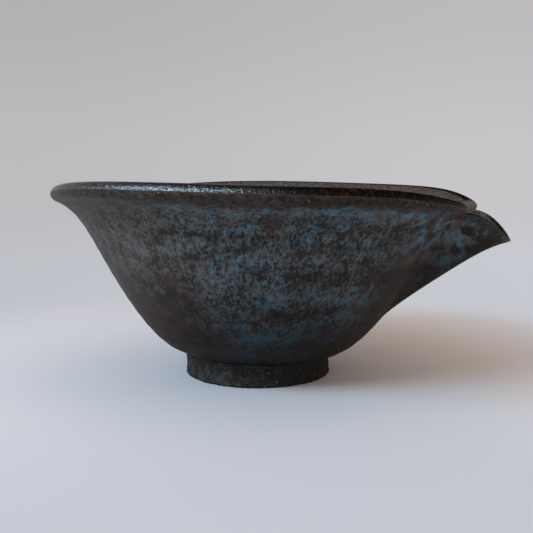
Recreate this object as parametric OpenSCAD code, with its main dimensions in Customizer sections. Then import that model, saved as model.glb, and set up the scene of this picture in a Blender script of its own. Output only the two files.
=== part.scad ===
// Katakuchi: a hand-thrown stoneware sake pourer with an open beak spout.
// Millimetres, +Z up. The origin is the centre of the foot's base and the spout points along +X.
// Heights are above the table, before the bowl leans on its foot.

/* [Bowl] */
// Outermost diameter of the lip
rim_d = 145; // [140:0.5:152]
// Height of the lip's crown at the two sides of the bowl
bowl_h = 68; // [65:0.2:72]
// Diameter of the wall where it is straightest
waist_d = 106.5; // [102:0.5:110]
// Height of the wall where it is straightest
waist_h = 38.2; // [35:0.2:40]
// Slope of the wall where it is straightest, from level
wall_angle = 61.4; // [59:0.2:65]
// Slope of the belly where it leaves the foot, from level
belly_angle = 15; // [10:0.5:20]
// Fullness of the belly near the foot
belly_low_pull = 4.1; // [3:0.1:6]
// Fullness of the belly below the straight wall
belly_high_pull = 32.2; // [28:0.2:34]
// Length of the straight wall below the flare
flare_low_pull = 15.2; // [13:0.2:18]
// Length of the flare below the lip
flare_high_pull = 8.6; // [7:0.2:10]
// Thickness of the wall where it is straightest
wall_t = 4.8; // [4:0.1:6]
// Thickness of the wall where it turns into the floor
floor_t = 8.4; // [7:0.1:10]

/* [Lip] */
// Thickness of the rolled lip
lip_t = 5.6; // [4.4:0.1:6]
// Slope of the lip's underside, from level
lip_angle = 25; // [18:1:30]
// Clearance between the lip's cut ends and the spout's shoulders, as an angle round the bowl
lip_clear_angle = 0.6; // [0.5:0.1:1.6]

/* [Hand-made shape] */
// Lean of the bowl on its foot
lean = 1.7; // [0:0.1:2.5]
// Heading of the lean, as an angle round the bowl from the spout
lean_heading = 17; // [-30:1:30]
// Dip of the lip opposite the spout
back_dip = 6.1; // [0:0.1:8]
// Half-width of the dip opposite the spout, as an angle round the bowl
back_dip_angle = 44; // [30:1:60]
// Dip of the lip at the spout
front_dip = 5.1; // [0:0.1:8]
// Pull of the lip outwards at the spout
front_pull = 2.8; // [0:0.1:4]
// Half-width of the dip and the pull at the spout, as an angle round the bowl
front_dip_angle = 26; // [18:1:34]

/* [Foot] */
// Outer diameter of the foot ring at its top, which the bowl's flat underside follows
foot_d = 52; // [46:0.2:56]
// Height of the foot, up to the bowl's underside
foot_h = 8.2; // [7:0.1:9.4]
// Width of the foot ring at its base
foot_ring_w = 5.6; // [4:0.1:8]
// Depth of the slight waist round the foot
foot_waist = 0.35; // [0:0.05:0.8]
// Slope of the foot's inner wall, from upright
foot_inner_angle = 12; // [0:1:20]
// Rounding of the foot's base edges
foot_round = 0.8; // [0.3:0.1:1.4]
// Thickness of the slip between foot and bowl
slip_t = 0.5; // [0.3:0.1:0.9]
// Slip squeezed out beyond the foot ring
slip_squeeze = 0.3; // [0.1:0.1:0.5]

/* [Notch] */
// Depth of the notch in the wall below the lip's crown
notch_depth = 28.8; // [26:0.2:31]
// Half of the notch's width under the lip, as an angle round the bowl
notch_angle = 9.4; // [8:0.1:11]
// Roundness of the notch's low end
notch_round = 1.3; // [1.1:0.05:1.6]

/* [Spout] */
// Reach of the tip beyond the lip
spout_reach = 13.6; // [10:0.2:16]
// Drop of the tip below the lip's crown
tip_drop = 16.4; // [13.6:0.2:19]
// Lap of the keel on the wall below the notch
keel_lap = 10.2; // [9:0.2:14]
// Lap of the spout's sides on the wall beside the notch, as an angle round the bowl
side_lap_angle = 1.8; // [1.4:0.1:2.6]
// Roundness of the spout's outline on the wall
root_round = 1.5; // [1.3:0.05:1.8]
// Distance of the spout's shoulders below the lip, along the wall
root_drop = 2.4; // [2:0.1:3.4]
// Stand-off of the pouring edge from the wall at the shoulders
shoulder_out = 3.6; // [3:0.1:4.6]
// Rise of the pouring edge above the root at the shoulders
shoulder_rise = 3.4; // [2.4:0.1:4.2]
// Steepness of the pouring edge's fall to the tip
edge_fall = 2.2; // [1.8:0.1:2.6]
// Thickness of the pouring edge
edge_t = 2.4; // [1.8:0.1:3]
// Arch of the keel, as a share of its length
keel_arch = 0.03; // [0:0.002:0.05]

/* [Luting] */
// Clearance between the luted faces
luting_gap = 0.15; // [0.1:0.01:0.25]
// Reach of the coil over the wall below the keel
coil_drop = 2; // [1.6:0.2:5]
// Reach of the coil over the wall beside the spout, as an angle round the bowl
coil_angle = 3.4; // [2.4:0.1:4.4]
// Reach of the coil up the spout, as a share of its length
coil_climb = 0.2; // [0.12:0.01:0.26]
// Thickness of the coil along its two edges
coil_edge_t = 0.25; // [0.2:0.05:0.4]

/* [Hidden] */

glaze_colour = "#2b3138";
clay_colour = "#26231f";
slip_colour = "#3a352f";
spout_colour = "#2f3a44";
coil_colour = "#3b322c";

// Facets: rows up the wall below, beside and above the spout's root, across the lip and over the floor,
// and columns round the bowl
low_rows = 11;
notch_rows = 6;
gap_rows = 2;
lip_rows = 8;
floor_rows = 3;
columns = 96;
// Facets of the spout and the coil: steps along the pouring edge and across each face
spout_steps = 32;
outer_rows = 12;
edge_rows = 4;
inner_rows = 9;
contact_rows = 6;
coil_rows = 5;

rim_r = rim_d / 2;
lip_r = lip_t / 2;
lip_centre = [rim_r - lip_r, bowl_h - lip_r];
base_r = foot_d / 2 + slip_squeeze;
belly_start = [base_r, foot_h];
waist = [waist_d / 2, waist_h];
flare_end = lip_centre + lip_r * toward(lip_angle - 90);
notch_h = bowl_h - notch_depth;
root_h = flare_end.y - root_drop;
root_angle = notch_angle + side_lap_angle;
lip_gap_angle = root_angle + lip_clear_angle;
keel_h = notch_h - keel_lap;
tip_x = rim_r + spout_reach - edge_t / 2;
tip_h = bowl_h - tip_drop;
// The pouring edge is this much higher on its inner side
edge_lift = 0.8;
// The notch widens to the lip's gap within this height
seat_step = 0.4;

// Plain geometry
function toward(a) = [cos(a), sin(a)];
function lerp(a, b, t) = a + (b - a) * t;
function unit(v) = v / norm(v);
function curve(p, t) = pow(1 - t, 3) * p[0] + 3 * pow(1 - t, 2) * t * p[1]
    + 3 * (1 - t) * t * t * p[2] + pow(t, 3) * p[3];
function curve_way(p, t) = unit(pow(1 - t, 2) * (p[1] - p[0]) + 2 * (1 - t) * t * (p[2] - p[1])
    + t * t * (p[3] - p[2]));

// The wall's outer outline: s runs from 0 at the foot to 1 at the waist and 2 at the lip
belly = [belly_start, belly_start + belly_low_pull * toward(belly_angle),
    waist - belly_high_pull * toward(wall_angle), waist];
flare = [waist, waist + flare_low_pull * toward(wall_angle),
    flare_end - flare_high_pull * toward(lip_angle), flare_end];
function wall_at(s) = s <= 1 ? curve(belly, s) : curve(flare, s - 1);
function wall_way(s) = s <= 1 ? curve_way(belly, s) : curve_way(flare, s - 1);
function wall_normal(s) = [wall_way(s).y, -wall_way(s).x];
function wall_thick(s) = s <= 1 ? lerp(floor_t, wall_t, s) : lerp(wall_t, lip_t, s - 1);
function inside_at(s) = wall_at(s) - wall_thick(s) * wall_normal(s);
function s_at(h, low = 0, high = 2, turns = 30) =
    let (mid = (low + high) / 2)
    turns == 0 ? mid
    : wall_at(mid).y < h ? s_at(h, mid, high, turns - 1) : s_at(h, low, mid, turns - 1);
notch_s = s_at(notch_h);
root_s = s_at(root_h);
seat_s = s_at(root_h - seat_step);

// The hand-made rim: it dips opposite the spout, dips and is drawn out at the spout, and the wall follows
function hump(a, width) = exp(-pow((a > 180 ? a - 360 : a) / width, 2));
function dip(a) = back_dip * hump(a - 180, back_dip_angle) + front_dip * hump(a, front_dip_angle);
function pull(a) = front_pull * hump(a, front_dip_angle);
function share_at(h) = pow(max(0, (h - foot_h) / (bowl_h - foot_h)), 2);
function settle(p, a) =
    let (share = share_at(p.y), r = p.x + pull(a) * share)
    [r * cos(a), r * sin(a), p.y - dip(a) * share];
function on_wall(a, s, out = 0) = settle(wall_at(s) + out * wall_normal(s), a);

// Rows of the bowl's outline, up the outside, over the lip and down the inside to the floor
wall_s = concat([for (i = [0:low_rows]) notch_s * i / low_rows],
    [for (i = [1:notch_rows]) lerp(notch_s, seat_s, i / notch_rows)],
    [for (i = [0:gap_rows]) lerp(root_s, 2, i / gap_rows)]);
gap_row = low_rows + notch_rows + 1;
top_row = len(wall_s) - 1;
last_pair = 2 * top_row + lip_rows;
floor_edge = inside_at(0);
floor_h = floor_edge.y - floor_edge.x * tan(belly_angle) / 2;
function floor_at(t) = [floor_edge.x * t, lerp(floor_h, floor_edge.y, t * t)];
bowl_rows = concat([for (s = wall_s) wall_at(s)],
    [for (i = [1:lip_rows - 1]) lip_centre + lip_r * toward(lip_angle - 90 + 180 * i / lip_rows)],
    [for (i = [top_row:-1:0]) inside_at(wall_s[i])],
    [for (i = [floor_rows:-1:1]) floor_at(i / (floor_rows + 1))]);

// Half-width of the opening for the spout at each row, and zero where the wall is whole
function notch_at(h) = h <= notch_h + 0.001 ? 0
    : notch_angle * pow((h - notch_h) / (flare_end.y - notch_h), 1 / notch_round);
function opening(row) =
    row > last_pair ? 0
    : row > last_pair / 2 ? opening(last_pair - row)
    : row >= gap_row ? lip_gap_angle : notch_at(bowl_rows[row].y);

module lean_bowl() {
    translate([0, 0, foot_h]) rotate(lean_heading) rotate([0, lean, 0]) rotate(-lean_heading)
        translate([0, 0, -foot_h]) children();
}

module bowl_body() {
    function id(row, col) = row * (columns + 1) + (opening(row) == 0 && col == columns ? 0 : col);
    rows = len(bowl_rows);
    centre = rows * (columns + 1);
    points = concat(
        [for (row = [0:rows - 1])
            let (gap = opening(row))
            for (col = [0:columns]) settle(bowl_rows[row], gap + (360 - 2 * gap) * col / columns)],
        [[0, 0, floor_h]]);
    skin = [for (row = [0:rows - 2], col = [0:columns - 1])
        each [[id(row, col), id(row + 1, col + 1), id(row, col + 1)],
            [id(row, col), id(row + 1, col), id(row + 1, col + 1)]]];
    floor_fan = [for (col = [0:columns - 1]) [id(rows - 1, col), centre, id(rows - 1, col + 1)]];
    underside = [[for (col = [0:columns - 1]) id(0, col)]];
    cuts = [for (row = [low_rows:last_pair / 2 - 1])
        let (a = row, b = row + 1, c = last_pair - row - 1, d = last_pair - row)
        each concat(
            [[id(a, 0), id(d, 0), id(b, 0)], [id(a, columns), id(b, columns), id(d, columns)]],
            b == c ? [] : [[id(b, 0), id(d, 0), id(c, 0)],
                [id(b, columns), id(c, columns), id(d, columns)]])];
    color(glaze_colour)
        lean_bowl() polyhedron(points, concat(skin, floor_fan, underside, cuts));
}

// The foot ring's outline, standing higher than the slip so that the leaning slip trims it
foot_top_r = foot_d / 2;
foot_base_r = foot_top_r - foot_round / 4;
foot_inner_r = foot_base_r - foot_ring_w;
foot_over = foot_h + foot_top_r * tan(lean) + slip_t;
foot_outline = concat(
    [for (a = [180:30:270]) [foot_inner_r + foot_round, foot_round] + foot_round * toward(a)],
    [for (a = [270:30:360]) [foot_base_r - foot_round, foot_round] + foot_round * toward(a)],
    [for (t = [0.25:0.25:0.75])
        [lerp(foot_base_r, foot_top_r, t) - foot_waist * sin(180 * t), lerp(foot_round, foot_h, t)]],
    [[foot_top_r, foot_h], [foot_top_r, foot_over],
        [foot_inner_r - foot_over * tan(foot_inner_angle), foot_over]]);

module foot_ring() {
    reach = 2 * rim_d;
    color(clay_colour) intersection() {
        rotate_extrude($fn = 96) polygon(foot_outline);
        lean_bowl() translate([-reach / 2, -reach / 2, foot_h - slip_t - reach]) cube(reach);
    }
}

module foot_luting_slip() {
    inner_r = foot_inner_r - foot_h * tan(foot_inner_angle);
    outer_r = foot_top_r + slip_squeeze;
    edge = slip_t / 4;
    color(slip_colour) lean_bowl() translate([0, 0, foot_h - slip_t]) rotate_extrude($fn = 96)
        polygon([[inner_r, 0], [outer_r - edge, 0], [outer_r, edge], [outer_r, slip_t - edge],
            [outer_r - edge, slip_t], [inner_r, slip_t]]);
}

// The spout's outline on the wall: u runs from -1 at one shoulder, through 0 at the keel, to 1
function root_place(u) = [root_angle * u,
    s_at(lerp(keel_h, root_h, pow(abs(u), root_round)))];
notch_share = pow((root_h - notch_h) / (flare_end.y - notch_h), 1 / notch_round);
function mouth_place(u) = [notch_angle * notch_share * u,
    s_at(lerp(notch_h, flare_end.y, pow(notch_share * abs(u), notch_round)))];
function wall_place(place, out) = on_wall(place[0], place[1], out);

// The pouring edge: round in plan, and falling from the shoulders to the tip
shoulder = settle(wall_at(root_s) + [shoulder_out, shoulder_rise], root_angle);
function outer_edge(u) = [lerp(tip_x, shoulder.x, u * u), shoulder.y * u,
    lerp(shoulder.z, tip_h, pow(max(0, 1 - u * u), edge_fall))];
function inner_edge(u) = [lerp(tip_x - edge_t, shoulder.x, u * u), (shoulder.y - edge_t) * u,
    outer_edge(u).z + edge_lift];

// A face of the spout: lines from the wall to the pouring edge, arched up most at three quarters of the way
function arch_at(t) = 256 / 27 * pow(t, 3) * (1 - t);
function face_point(root, edge, t) =
    let (along = edge - root,
        middle = (root + edge) / 2,
        way = unit(along),
        up = [middle.x, 0, bowl_h] - middle,
        arch = unit(up - (up * way) * way) * keel_arch * norm(along))
    lerp(root, edge, t) + arch_at(t) * arch;
function outer_face(u, t) = face_point(wall_place(root_place(u), luting_gap), outer_edge(u), t);
function inner_face(u, t) = face_point(wall_place(mouth_place(u), luting_gap), inner_edge(u), t);
function rolled_edge(u, t) =
    let (way = unit(outer_edge(u) - outer_face(u, 1 - 1 / outer_rows)))
    lerp(outer_edge(u), inner_edge(u), t) + way * edge_t / 2 * sin(180 * t);
function contact(u, t) = wall_place(lerp(mouth_place(u), root_place(u), t), luting_gap);

// One section of the spout: up its outside, over the edge, down its inside and back along the wall
function spout_section(u) = concat(
    [for (i = [0:outer_rows]) outer_face(u, i / outer_rows)],
    [for (i = [1:edge_rows - 1]) rolled_edge(u, i / edge_rows)],
    [for (i = [inner_rows:-1:0]) inner_face(u, i / inner_rows)],
    [for (i = [1:contact_rows - 1]) contact(u, i / contact_rows)]);

// A solid through closed sections with equal counts of points, with a fan over each end
module loft(sections) {
    n = len(sections[0]);
    count = len(sections);
    function mean(points) = [for (p = points) 1 / n] * points;
    first = count * n;
    points = concat([for (section = sections) each section],
        [mean(sections[0]), mean(sections[count - 1])]);
    sides = [for (i = [0:count - 2], k = [0:n - 1])
        let (a = i * n + k, b = i * n + (k + 1) % n)
        each [[a, b, b + n], [a, b + n, a + n]]];
    ends = [for (k = [0:n - 1])
        let (b = (k + 1) % n, last = (count - 1) * n)
        each [[first, b, k], [first + 1, last + k, last + b]]];
    polyhedron(points, concat(sides, ends));
}

module spout() {
    color(spout_colour) lean_bowl()
        loft([for (i = [-spout_steps / 2:spout_steps / 2]) spout_section(2 * i / spout_steps)]);
}

// The coil: its wall side is a wider outline than the spout's root, and its other side climbs the spout
function coil_place(u) = [(root_angle + coil_angle) * u,
    s_at(lerp(keel_h - coil_drop, root_h, pow(abs(u), root_round)))];
function coil_wall(u, t) = wall_place(lerp(root_place(u), coil_place(u), t), luting_gap);
function coil_lift(u, t) =
    let (step = 0.01,
        along = outer_face(u, t + step) - outer_face(u, t),
        across = outer_face(u + step, t) - outer_face(u - step, t))
    unit(cross(across, along));
function coil_spout(u, t) = outer_face(u, coil_climb * t) + luting_gap * coil_lift(u, coil_climb * t);
function coil_section(u) =
    let (low = wall_place(coil_place(u), luting_gap + coil_edge_t),
        high = outer_face(u, coil_climb) + (luting_gap + coil_edge_t) * coil_lift(u, coil_climb),
        corner = wall_place(root_place(u), 3 * luting_gap + coil_edge_t))
    concat([for (i = [0:coil_rows])
            let (t = i / coil_rows)
            pow(1 - t, 2) * low + 2 * t * (1 - t) * corner + t * t * high],
        [for (i = [coil_rows:-1:0]) coil_spout(u, i / coil_rows)],
        [for (i = [1:coil_rows]) coil_wall(u, i / coil_rows)]);

module spout_luting_coil() {
    color(coil_colour) lean_bowl()
        loft([for (i = [-spout_steps / 2:spout_steps / 2]) coil_section(2 * i / spout_steps)]);
}

bowl_body();
foot_ring();
foot_luting_slip();
spout();
spout_luting_coil();
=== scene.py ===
import math

import bpy
import numpy as np
from mathutils import Matrix, Vector, noise


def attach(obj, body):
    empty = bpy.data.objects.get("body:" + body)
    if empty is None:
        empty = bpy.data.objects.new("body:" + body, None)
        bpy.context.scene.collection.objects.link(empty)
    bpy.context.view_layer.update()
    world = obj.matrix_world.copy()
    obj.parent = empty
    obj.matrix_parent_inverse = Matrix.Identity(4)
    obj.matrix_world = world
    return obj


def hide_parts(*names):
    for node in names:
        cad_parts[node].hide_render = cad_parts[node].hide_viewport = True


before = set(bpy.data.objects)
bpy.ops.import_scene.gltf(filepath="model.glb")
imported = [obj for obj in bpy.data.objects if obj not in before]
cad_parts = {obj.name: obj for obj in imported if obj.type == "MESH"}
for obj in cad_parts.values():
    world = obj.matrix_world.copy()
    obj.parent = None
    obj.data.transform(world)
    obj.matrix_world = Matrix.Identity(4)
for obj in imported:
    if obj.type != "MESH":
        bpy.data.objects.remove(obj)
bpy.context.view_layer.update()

# Lengths are in metres and angles in degrees, unless a comment says otherwise
MM = 0.001
UP = np.array([0, 0, 1])
TINY = 1e-9

# The bowl: heights are above the table, before the bowl leans on its foot
RIM_R = 72.5 * MM
BOWL_H = 68 * MM
FOOT_R = 26 * MM
FOOT_H = 8.2 * MM
WAIST = np.array([53.25, 38.2]) * MM
WALL_ANGLE = 61.4
BELLY_ANGLE = 15
BELLY_PULLS = 4.1 * MM, 32.2 * MM
FLARE_PULLS = 15.2 * MM, 8.6 * MM
WALL_T = 4.8 * MM
FLOOR_T = 8.4 * MM
LIP_R = 2.8 * MM
LIP_ANGLE = 25
LEAN = 1.7
LEAN_HEADING = 17
BACK_DIP = 6.1 * MM
BACK_DIP_ANGLE = 44
FRONT_DIP = 5.1 * MM
FRONT_PULL = 2.8 * MM
FRONT_DIP_ANGLE = 26

# The foot and the slip that joins it to the bowl
FOOT_RING_W = 5.6 * MM
FOOT_WAIST = 0.35 * MM
FOOT_INNER_ANGLE = 12
FOOT_ROUND = 0.8 * MM
SLIP_T = 0.5 * MM
SLIP_SQUEEZE = 0.3 * MM

# The notch, the spout over it and the coil in the corner between spout and bowl
NOTCH_DEPTH = 28.8 * MM
NOTCH_ANGLE = 9.4
NOTCH_ROUND = 1.3
SIDE_LAP_ANGLE = 1.8
LIP_CLEAR_ANGLE = 0.6
KEEL_LAP = 10.2 * MM
ROOT_DROP = 2.4 * MM
ROOT_ROUND = 1.5
SEAT_STEP = 0.4 * MM
SPOUT_REACH = 13.6 * MM
TIP_DROP = 16.4 * MM
SHOULDER_OUT = 3.6 * MM
SHOULDER_RISE = 3.4 * MM
EDGE_FALL = 2.2
EDGE_T = 2.4 * MM
EDGE_LIFT = 0.8 * MM
EDGE_ROUND = 0.75 * MM
KEEL_ARCH = 0.03

# The looks of hand work: throwing lines, rounded cuts and how deep a luted piece sits in the wall
THROW_DEPTH = 0.11 * MM
THROW_PITCH = 5.4 * MM
INNER_THROW_DEPTH = 0.34 * MM
INNER_THROW_PITCH = 7.5 * MM
CUT_ROUND = 2.3 * MM
SKIN_INSET = 0.04 * MM
LUTED_DEPTH = 0.3 * MM
# Distances from the lip and from the spout's root over which the throwing lines come in
LIP_CALM = 6 * MM, 16 * MM
SEAM_CALM = 12 * MM, 24 * MM


def toward(degrees):
    """A direction on a flat drawing"""
    angle = math.radians(degrees)
    return np.array([math.cos(angle), math.sin(angle)])


def lerp(a, b, t):
    return a + (b - a) * t


def unit(v):
    return v / np.linalg.norm(v, axis=-1, keepdims=True)


def ease(value, low, high):
    """A smooth rise from 0 to 1 while the value goes from low to high"""
    t = np.clip((value - low) / (high - low), 0, 1)
    return t * t * (3 - 2 * t)


# The wall's outer outline: s runs from 0 at the foot to 1 at the waist and 2 at the lip
BASE_R = FOOT_R + SLIP_SQUEEZE
LIP_CENTRE = np.array([RIM_R - LIP_R, BOWL_H - LIP_R])
BELLY_START = np.array([BASE_R, FOOT_H])
FLARE_END = LIP_CENTRE + LIP_R * toward(LIP_ANGLE - 90)
BELLY = (BELLY_START, BELLY_START + BELLY_PULLS[0] * toward(BELLY_ANGLE),
         WAIST - BELLY_PULLS[1] * toward(WALL_ANGLE), WAIST)
FLARE = (WAIST, WAIST + FLARE_PULLS[0] * toward(WALL_ANGLE),
         FLARE_END - FLARE_PULLS[1] * toward(LIP_ANGLE), FLARE_END)


def curve(points, t):
    """A point on the smooth curve that four points pull"""
    a, b, c, d = points
    return (1 - t) ** 3 * a + 3 * (1 - t) ** 2 * t * b + 3 * (1 - t) * t ** 2 * c + t ** 3 * d


def curve_way(points, t):
    """The direction of that curve"""
    a, b, c, d = points
    return unit((1 - t) ** 2 * (b - a) + 2 * (1 - t) * t * (c - b) + t ** 2 * (d - c))


def along_wall(s, on_curve):
    s = np.asarray(s, float)[..., None]
    return np.where(s <= 1, on_curve(BELLY, np.clip(s, 0, 1)), on_curve(FLARE, np.clip(s - 1, 0, 1)))


def wall_at(s):
    return along_wall(s, curve)


def wall_normal(s):
    way = along_wall(s, curve_way)
    return np.stack([way[..., 1], -way[..., 0]], -1)


def wall_thick(s):
    s = np.asarray(s, float)
    return np.where(s <= 1, lerp(FLOOR_T, WALL_T, s), lerp(WALL_T, 2 * LIP_R, s - 1))


def inside_at(s):
    return wall_at(s) - wall_thick(s)[..., None] * wall_normal(s)


TABLE_STEPS = 4000
S_TABLE = np.linspace(0, 2, TABLE_STEPS + 1)
H_TABLE = wall_at(S_TABLE)[:, 1]


def s_at(h):
    return np.interp(h, H_TABLE, S_TABLE)


NOTCH_H = BOWL_H - NOTCH_DEPTH
KEEL_H = NOTCH_H - KEEL_LAP
ROOT_H = FLARE_END[1] - ROOT_DROP
NOTCH_S = s_at(NOTCH_H)
SEAT_S = s_at(ROOT_H - SEAT_STEP)
ROOT_S = s_at(ROOT_H)
ROOT_ANGLE = NOTCH_ANGLE + SIDE_LAP_ANGLE
LIP_GAP_ANGLE = ROOT_ANGLE + LIP_CLEAR_ANGLE
TIP_X = RIM_R + SPOUT_REACH - EDGE_T / 2
TIP_H = BOWL_H - TIP_DROP


def hump(angle, width):
    """A round hump, 1 where an angle in radians is 0 and falling off over a width in degrees"""
    turned = (angle + math.pi) % (2 * math.pi) - math.pi
    return np.exp(-(turned / math.radians(width)) ** 2)


def settle(p, angle):
    """Places round the hand-made bowl: the rim dips opposite the spout, dips and is drawn out at it"""
    share = np.clip((p[..., 1] - FOOT_H) / (BOWL_H - FOOT_H), 0, None) ** 2
    front = hump(angle, FRONT_DIP_ANGLE)
    dip = BACK_DIP * hump(angle - math.pi, BACK_DIP_ANGLE) + FRONT_DIP * front
    r = p[..., 0] + FRONT_PULL * front * share
    return np.stack([r * np.cos(angle), r * np.sin(angle), p[..., 1] - dip * share], -1)


LEAN_TURN = np.array(Matrix.Rotation(math.radians(LEAN_HEADING), 3, "Z")
                     @ Matrix.Rotation(math.radians(LEAN), 3, "Y")
                     @ Matrix.Rotation(math.radians(-LEAN_HEADING), 3, "Z"))
LEAN_PIVOT = np.array([0, 0, FOOT_H])


def leaned(points):
    return (points - LEAN_PIVOT) @ LEAN_TURN.T + LEAN_PIVOT


# Edges that turn by more than this angle look sharp
SHARP_ANGLE = 50


def add_mesh(name, points, faces, **values):
    """A smooth object from an array of points and lists of faces, with a named value at each point"""
    used = np.unique(np.concatenate([np.ravel(f) for f in faces]))
    new_id = np.zeros(len(points), int)
    new_id[used] = np.arange(len(used))
    mesh = bpy.data.meshes.new(name)
    mesh.from_pydata(points[used].tolist(), [], [new_id[list(f)].tolist() for f in faces])
    for key, value in values.items():
        attribute = mesh.attributes.new(key, "FLOAT", "POINT")
        attribute.data.foreach_set("value", np.asarray(value, np.float32).ravel()[used])
    mesh.shade_smooth()
    mesh.set_sharp_from_angle(angle=math.radians(SHARP_ANGLE))
    mesh.validate()
    piece = bpy.data.objects.new(name, mesh)
    bpy.context.scene.collection.objects.link(piece)
    return piece


def loft(name, sections, ring=False, **values):
    """A solid through closed sections, joined end to end as a ring or closed by a face at each end"""
    count, n = sections.shape[:2]
    last = count if ring else count - 1
    faces = []
    for i in range(last):
        j = (i + 1) % count
        for k in range(n):
            m = (k + 1) % n
            faces.append((i * n + k, i * n + m, j * n + m, j * n + k))
    if not ring:
        faces.append(tuple(range(n - 1, -1, -1)))
        faces.append(tuple(last * n + k for k in range(n)))
    return add_mesh(name, sections.reshape(-1, 3), faces, **values)


def run_along(points):
    """Distance along a row of points"""
    steps = np.linalg.norm(np.diff(points, axis=0), axis=1)
    return np.concatenate([[0], np.cumsum(steps)])


# The bowl's section: under the foot, up the outside, over the lip, down the inside and over the floor
UNDER_ROWS = 14
LOW_ROWS = 56
NOTCH_ROWS = 34
GAP_ROWS = 10
LIP_ROWS = 24
FLOOR_ROWS = 22
# The rows at the wall's outer foot, at the start of the lip's gap, in mid lip and at the wall's inner foot
WALL_START = UNDER_ROWS
GAP_START = WALL_START + LOW_ROWS + NOTCH_ROWS + 1
LIP_MIDDLE = GAP_START + GAP_ROWS + LIP_ROWS // 2
WALL_END = 2 * LIP_MIDDLE - WALL_START
# Columns of points stand closer together at the cut
COLUMN_W = 1.8 * MM
CUT_COLUMN_W = 0.12 * MM
CUT_COLUMN_GROWTH = 1.16
# The smallest opening, the share of half the wall that a rounded end takes up, and the reach of the
# painted light on the cut ends
OPEN_ANGLE = 1e-6
CUT_MEET = 0.98
CUT_END_LIGHT_REACH = 1.6 * MM


def bowl_columns():
    """Shares of the way round from one side of the cut to the other, closer together near the cut"""
    half_round = math.pi * RIM_R
    width = CUT_COLUMN_W
    places = [0.0]
    while places[-1] + width < half_round:
        places.append(places[-1] + width)
        width = min(width * CUT_COLUMN_GROWTH, COLUMN_W)
    half = np.array(places) / (2 * half_round)
    half[-1] = 0.5
    return np.concatenate([half, 1 - half[-2::-1]])


def bowl_profile():
    """Points of the section, the ways out of the clay there, and the height of the floor's middle"""
    wall_s = np.concatenate([np.linspace(0, NOTCH_S, LOW_ROWS + 1),
                             np.linspace(NOTCH_S, SEAT_S, NOTCH_ROWS + 1)[1:],
                             np.linspace(ROOT_S, 2, GAP_ROWS + 1)])
    down_s = wall_s[::-1]
    lip = np.array([toward(LIP_ANGLE - 90 + 180 * i / LIP_ROWS) for i in range(1, LIP_ROWS)])
    under_t = np.linspace(0, 1, UNDER_ROWS + 2)[1:-1]
    under = np.stack([BASE_R * under_t, np.full(UNDER_ROWS, FOOT_H)], -1)
    floor_edge = inside_at(0)
    floor_h = floor_edge[1] - floor_edge[0] * math.tan(math.radians(BELLY_ANGLE)) / 2
    floor_t = np.linspace(1, 0, FLOOR_ROWS + 2)[1:-1]
    floor = np.stack([floor_edge[0] * floor_t, lerp(floor_h, floor_edge[1], floor_t ** 2)], -1)
    profile = np.concatenate([under, wall_at(wall_s), LIP_CENTRE + LIP_R * lip,
                              inside_at(down_s), floor])
    normal = np.concatenate([np.tile([0, -1], (UNDER_ROWS, 1)), wall_normal(wall_s), lip,
                             -wall_normal(down_s), np.tile([0, 1], (FLOOR_ROWS, 1))])
    return profile, normal, floor_h


def notch_at(h):
    """Half the notch's angle at a height"""
    share = np.clip((h - NOTCH_H) / (FLARE_END[1] - NOTCH_H), 0, None)
    return NOTCH_ANGLE * share ** (1 / NOTCH_ROUND)


def gap_angles(profile):
    """Half the angle of the cut in each row: the notch in the wall, the gap in the lip, none elsewhere"""
    gap = np.zeros(len(profile))
    gap[WALL_START:GAP_START] = notch_at(profile[WALL_START:GAP_START, 1])
    gap[GAP_START:LIP_MIDDLE + 1] = LIP_GAP_ANGLE
    gap[LIP_MIDDLE + 1:WALL_END + 1] = gap[WALL_START:LIP_MIDDLE][::-1]
    return gap


def thrown_skin(profile, angle, run, crown):
    """Depth of the throwing lines, which wind up the outside and the inside of the wall"""
    row = np.arange(len(profile))[:, None]
    outer = (row >= WALL_START) & (row <= crown)
    spiral = 2 * math.pi * run[:, None]
    places = leaned(settle(profile[:, None, :], angle)).reshape(-1, 3)
    near_seam = seam_distance(places).reshape(angle.shape)
    calm = ease(np.abs(run[crown] - run), *LIP_CALM)[:, None] * ease(near_seam, *SEAM_CALM)
    outside = THROW_DEPTH * (np.sin(spiral / THROW_PITCH - angle) - 1)
    inside = INNER_THROW_DEPTH * (np.sin(spiral / INNER_THROW_PITCH + angle) - 1)
    return calm * np.where(outer, outside, inside) / 2


def cut_offset(distance, radius):
    """How far a wall's face draws in at a distance from its cut end, so that the edge is round"""
    inside = np.clip(radius - distance, 0, radius)
    return radius - np.sqrt(radius ** 2 - inside ** 2)


def rounded_cut(profile, gap, from_cut):
    """How far each point moves to the middle of the wall, so that the cut ends are round"""
    wall = profile[WALL_START:WALL_END + 1]
    half_wall = np.zeros(profile.shape)
    half_wall[WALL_START:WALL_END + 1] = (wall[::-1] - wall) / 2
    half_t = np.maximum(np.linalg.norm(half_wall, axis=1), TINY)[:, None]
    radius = np.maximum(np.minimum(CUT_ROUND, np.radians(gap) * profile[:, 0]), TINY)[:, None]
    drawn = np.where(gap[:, None] > OPEN_ANGLE, cut_offset(from_cut, radius), 0)
    drawn = np.minimum(drawn, CUT_MEET * half_t)
    return drawn[..., None] * (half_wall / half_t)[:, None, :]


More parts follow.
